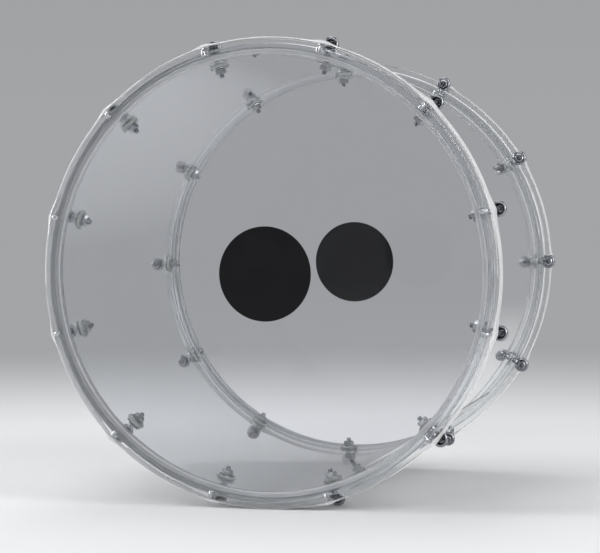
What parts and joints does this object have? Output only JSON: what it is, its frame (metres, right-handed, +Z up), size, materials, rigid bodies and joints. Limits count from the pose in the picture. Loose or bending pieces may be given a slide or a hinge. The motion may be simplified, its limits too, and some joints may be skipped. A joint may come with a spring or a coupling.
{
  "type": "caucasian drum",
  "caption": "Clear cylindrical Caucasian drum with a film head on each end, held by bent hooks that pull through eyebolts on the shell.",
  "frame": {"origin": "middle of the base of the bounding box, on the floor that the drum lies on", "axes": "+Y along the drum from the front head to the rear head, raised 1.5 degrees at the rear as the drum lies; +Z up; +X to the right as seen from the front"},
  "size_m": [0.3828, 0.323, 0.3828],
  "materials": {
    "clear_acrylic": "polished clear acrylic",
    "clear_film": "clear polyester film",
    "frosted_strip": "frosted clear strip",
    "black_dot": "satin black",
    "chromed_rod": "bright",
    "plated_steel": "bright plated, slightly dark"
  },
  "bodies": {
    "drum": {"shell": "clear_acrylic", "seam_strip": "frosted_strip", "hoop_front": "clear_acrylic", "film_head_front": "clear_film", "dot_front": "black_dot", "hoop_rear": "clear_acrylic", "film_head_rear": "clear_film", "dot_rear": "black_dot", "eyebolt_front_01": "plated_steel", "eyebolt_front_02": "plated_steel", "eyebolt_front_03": "plated_steel", "eyebolt_front_04": "plated_steel", "eyebolt_front_05": "plated_steel", "eyebolt_front_06": "plated_steel", "eyebolt_front_07": "plated_steel", "eyebolt_front_08": "plated_steel", "eyebolt_front_09": "plated_steel", "eyebolt_front_10": "plated_steel", "eyebolt_front_11": "plated_steel", "eyebolt_front_12": "plated_steel", "eyebolt_rear_01": "plated_steel", "eyebolt_rear_02": "plated_steel", "eyebolt_rear_03": "plated_steel", "eyebolt_rear_04": "plated_steel", "eyebolt_rear_05": "plated_steel", "eyebolt_rear_06": "plated_steel", "eyebolt_rear_07": "plated_steel", "eyebolt_rear_08": "plated_steel", "eyebolt_rear_09": "plated_steel", "eyebolt_rear_10": "plated_steel", "eyebolt_rear_11": "plated_steel", "eyebolt_rear_12": "plated_steel"},
    "hook_front_01": {"hook_front_01": "chromed_rod"},
    "hook_front_02": {"hook_front_02": "chromed_rod"},
    "hook_front_03": {"hook_front_03": "chromed_rod"},
    "hook_front_04": {"hook_front_04": "chromed_rod"},
    "hook_front_05": {"hook_front_05": "chromed_rod"},
    "hook_front_06": {"hook_front_06": "chromed_rod"},
    "hook_front_07": {"hook_front_07": "chromed_rod"},
    "hook_front_08": {"hook_front_08": "chromed_rod"},
    "hook_front_09": {"hook_front_09": "chromed_rod"},
    "hook_front_10": {"hook_front_10": "chromed_rod"},
    "hook_front_11": {"hook_front_11": "chromed_rod"},
    "hook_front_12": {"hook_front_12": "chromed_rod"},
    "hook_rear_01": {"hook_rear_01": "chromed_rod"},
    "hook_rear_02": {"hook_rear_02": "chromed_rod"},
    "hook_rear_03": {"hook_rear_03": "chromed_rod"},
    "hook_rear_04": {"hook_rear_04": "chromed_rod"},
    "hook_rear_05": {"hook_rear_05": "chromed_rod"},
    "hook_rear_06": {"hook_rear_06": "chromed_rod"},
    "hook_rear_07": {"hook_rear_07": "chromed_rod"},
    "hook_rear_08": {"hook_rear_08": "chromed_rod"},
    "hook_rear_09": {"hook_rear_09": "chromed_rod"},
    "hook_rear_10": {"hook_rear_10": "chromed_rod"},
    "hook_rear_11": {"hook_rear_11": "chromed_rod"},
    "hook_rear_12": {"hook_rear_12": "chromed_rod"}
  },
  "joints": [
    {"name": "hook_front_01_slide", "type": "slide", "parent": "drum", "child": "hook_front_01", "axis": [-0.1053, -0.993, -0.0542], "range_m": [0, 0.004]},
    {"name": "hook_front_02_slide", "type": "slide", "parent": "drum", "child": "hook_front_02", "axis": [-0.0771, -0.9917, -0.1031], "range_m": [0, 0.004]},
    {"name": "hook_front_03_slide", "type": "slide", "parent": "drum", "child": "hook_front_03", "axis": [-0.0282, -0.9909, -0.1313], "range_m": [0, 0.004]},
    {"name": "hook_front_04_slide", "type": "slide", "parent": "drum", "child": "hook_front_04", "axis": [0.0282, -0.9909, -0.1313], "range_m": [0, 0.004]},
    {"name": "hook_front_05_slide", "type": "slide", "parent": "drum", "child": "hook_front_05", "axis": [0.0771, -0.9917, -0.1031], "range_m": [0, 0.004]},
    {"name": "hook_front_06_slide", "type": "slide", "parent": "drum", "child": "hook_front_06", "axis": [0.1053, -0.993, -0.0542], "range_m": [0, 0.004]},
    {"name": "hook_front_07_slide", "type": "slide", "parent": "drum", "child": "hook_front_07", "axis": [0.1053, -0.9944, 0.0022], "range_m": [0, 0.004]},
    {"name": "hook_front_08_slide", "type": "slide", "parent": "drum", "child": "hook_front_08", "axis": [0.0771, -0.9957, 0.0511], "range_m": [0, 0.004]},
    {"name": "hook_front_09_slide", "type": "slide", "parent": "drum", "child": "hook_front_09", "axis": [0.0282, -0.9965, 0.0793], "range_m": [0, 0.004]},
    {"name": "hook_front_10_slide", "type": "slide", "parent": "drum", "child": "hook_front_10", "axis": [-0.0282, -0.9965, 0.0793], "range_m": [0, 0.004]},
    {"name": "hook_front_11_slide", "type": "slide", "parent": "drum", "child": "hook_front_11", "axis": [-0.0771, -0.9957, 0.0511], "range_m": [0, 0.004]},
    {"name": "hook_front_12_slide", "type": "slide", "parent": "drum", "child": "hook_front_12", "axis": [-0.1053, -0.9944, 0.0022], "range_m": [0, 0.004]},
    {"name": "hook_rear_01_slide", "type": "slide", "parent": "drum", "child": "hook_rear_01", "axis": [-0.1091, 0.9937, 0.026], "range_m": [0, 0.004]},
    {"name": "hook_rear_02_slide", "type": "slide", "parent": "drum", "child": "hook_rear_02", "axis": [-0.0945, 0.9951, -0.0285], "range_m": [0, 0.004]},
    {"name": "hook_rear_03_slide", "type": "slide", "parent": "drum", "child": "hook_rear_03", "axis": [-0.0545, 0.9962, -0.0684], "range_m": [0, 0.004]},
    {"name": "hook_rear_04_slide", "type": "slide", "parent": "drum", "child": "hook_rear_04", "axis": [0, 0.9965, -0.083], "range_m": [0, 0.004]},
    {"name": "hook_rear_05_slide", "type": "slide", "parent": "drum", "child": "hook_rear_05", "axis": [0.0545, 0.9962, -0.0684], "range_m": [0, 0.004]},
    {"name": "hook_rear_06_slide", "type": "slide", "parent": "drum", "child": "hook_rear_06", "axis": [0.0945, 0.9951, -0.0285], "range_m": [0, 0.004]},
    {"name": "hook_rear_07_slide", "type": "slide", "parent": "drum", "child": "hook_rear_07", "axis": [0.1091, 0.9937, 0.026], "range_m": [0, 0.004]},
    {"name": "hook_rear_08_slide", "type": "slide", "parent": "drum", "child": "hook_rear_08", "axis": [0.0945, 0.9923, 0.0805], "range_m": [0, 0.004]},
    {"name": "hook_rear_09_slide", "type": "slide", "parent": "drum", "child": "hook_rear_09", "axis": [0.0545, 0.9912, 0.1204], "range_m": [0, 0.004]},
    {"name": "hook_rear_10_slide", "type": "slide", "parent": "drum", "child": "hook_rear_10", "axis": [0, 0.9908, 0.135], "range_m": [0, 0.004]},
    {"name": "hook_rear_11_slide", "type": "slide", "parent": "drum", "child": "hook_rear_11", "axis": [-0.0545, 0.9912, 0.1204], "range_m": [0, 0.004]},
    {"name": "hook_rear_12_slide", "type": "slide", "parent": "drum", "child": "hook_rear_12", "axis": [-0.0945, 0.9923, 0.0805], "range_m": [0, 0.004]}
  ]
}
